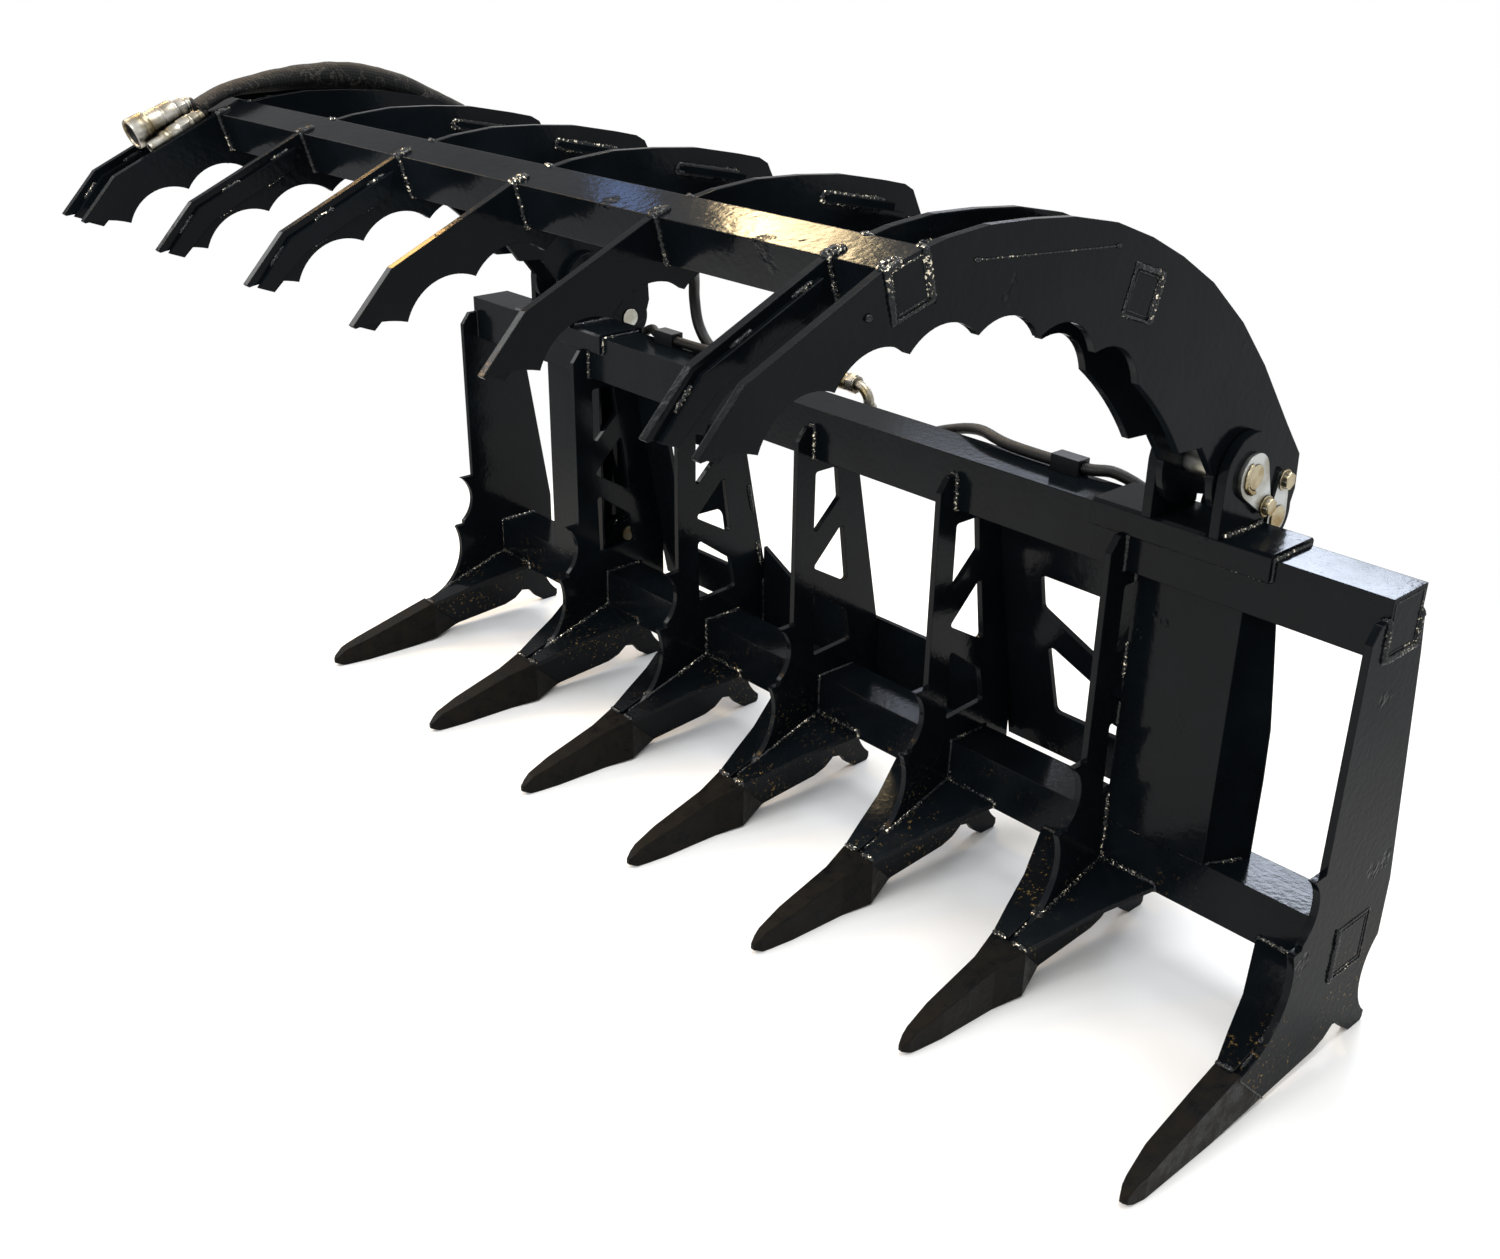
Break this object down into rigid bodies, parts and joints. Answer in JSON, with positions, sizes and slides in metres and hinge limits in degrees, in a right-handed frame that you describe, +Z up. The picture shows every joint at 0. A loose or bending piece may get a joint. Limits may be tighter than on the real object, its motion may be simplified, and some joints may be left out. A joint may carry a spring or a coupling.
{
  "type": "grapple bucket",
  "caption": "Root grapple bucket: welded frame of forward tines and lattice uprights, with a hinged finger jaw closed by hydraulic cylinders, on a quick-mount plate.",
  "frame": {"origin": "middle of the width, on the ground under the heel of the middle tine", "axes": "+X across the width, -Y the way the tines point, +Z up"},
  "size_m": [1.83, 1.0282, 1.1064],
  "materials": {
    "black_paint": "gloss",
    "zinc_plate": "zinc plated, faint yellow",
    "hose_rubber": "satin",
    "chrome_rod": "polished"
  },
  "bodies": {
    "frame": {"top_tube": "black_paint", "bottom_tube": "black_paint", "tube_end_caps": "black_paint", "tine_plate_1": "black_paint", "tine_plate_2": "black_paint", "tine_plate_3": "black_paint", "tine_plate_4": "black_paint", "tine_plate_5": "black_paint", "tine_plate_6": "black_paint", "tine_plate_7": "black_paint", "tine_tip_1": "black_paint", "tine_tip_2": "black_paint", "tine_tip_3": "black_paint", "tine_tip_4": "black_paint", "tine_tip_5": "black_paint", "tine_tip_6": "black_paint", "tine_tip_7": "black_paint", "tine_wings": "black_paint", "cross_band": "black_paint", "mount_plate_left": "black_paint", "mount_plate_right": "black_paint", "guard_box_left": "black_paint", "guard_box_right": "black_paint", "hinge_saddle_left": "black_paint", "hinge_saddle_right": "black_paint", "hinge_ears_left": "black_paint", "hinge_ears_right": "black_paint", "foot_lugs_left": "black_paint", "foot_lugs_right": "black_paint", "pivot_pin_left": "zinc_plate", "pivot_pin_right": "zinc_plate", "pivot_flags": "zinc_plate", "foot_pins": "zinc_plate", "frame_hose": "hose_rubber", "tube_hoses": "hose_rubber", "hose_fittings": "zinc_plate"},
    "jaw": {"finger_1": "black_paint", "finger_2": "black_paint", "finger_3": "black_paint", "finger_4": "black_paint", "finger_5": "black_paint", "finger_6": "black_paint", "finger_7": "black_paint", "finger_8": "black_paint", "jaw_tube": "black_paint", "jaw_rear_tube": "black_paint", "jaw_end_caps": "black_paint", "jaw_stiffeners": "black_paint", "finger_strips": "black_paint", "finger_gussets": "black_paint", "rod_pin_left": "zinc_plate", "rod_pin_right": "zinc_plate", "rod_flags": "zinc_plate", "hose_sleeve": "hose_rubber", "hose_couplers": "zinc_plate", "jaw_hose": "hose_rubber"},
    "rod_left": {"cylinder_rod_left": "chrome_rod"},
    "rod_right": {"cylinder_rod_right": "chrome_rod"},
    "barrel_left": {"cylinder_barrel_left": "black_paint"},
    "barrel_right": {"cylinder_barrel_right": "black_paint"}
  },
  "joints": [
    {"name": "jaw_swing", "type": "hinge", "parent": "frame", "child": "jaw", "pos_m": [0, -0.104, 0.727], "axis": [1, 0, 0], "range_deg": [0, 68]},
    {"name": "rod_turn_left", "type": "hinge", "parent": "jaw", "child": "rod_left", "pos_m": [-0.6465, -0.012, 0.65], "axis": [1, 0, 0], "range_deg": [-71.5, 0]},
    {"name": "barrel_slide_left", "type": "slide", "parent": "rod_left", "child": "barrel_left", "axis": [0, -0.0441, -0.999], "range_m": [0, 0.14]},
    {"name": "rod_turn_right", "type": "hinge", "parent": "jaw", "child": "rod_right", "pos_m": [0.6465, -0.012, 0.65], "axis": [1, 0, 0], "range_deg": [-71.5, 0]},
    {"name": "barrel_slide_right", "type": "slide", "parent": "rod_right", "child": "barrel_right", "axis": [0, -0.0441, -0.999], "range_m": [0, 0.14]}
  ],
  "couplings": [
    {"joint": "rod_turn_left", "follows": "jaw_swing", "ratio": -1.0357},
    {"joint": "barrel_slide_left", "follows": "jaw_swing", "m_per_rad": 0.11174},
    {"joint": "rod_turn_right", "follows": "jaw_swing", "ratio": -1.0357},
    {"joint": "barrel_slide_right", "follows": "jaw_swing", "m_per_rad": 0.11174}
  ]
}
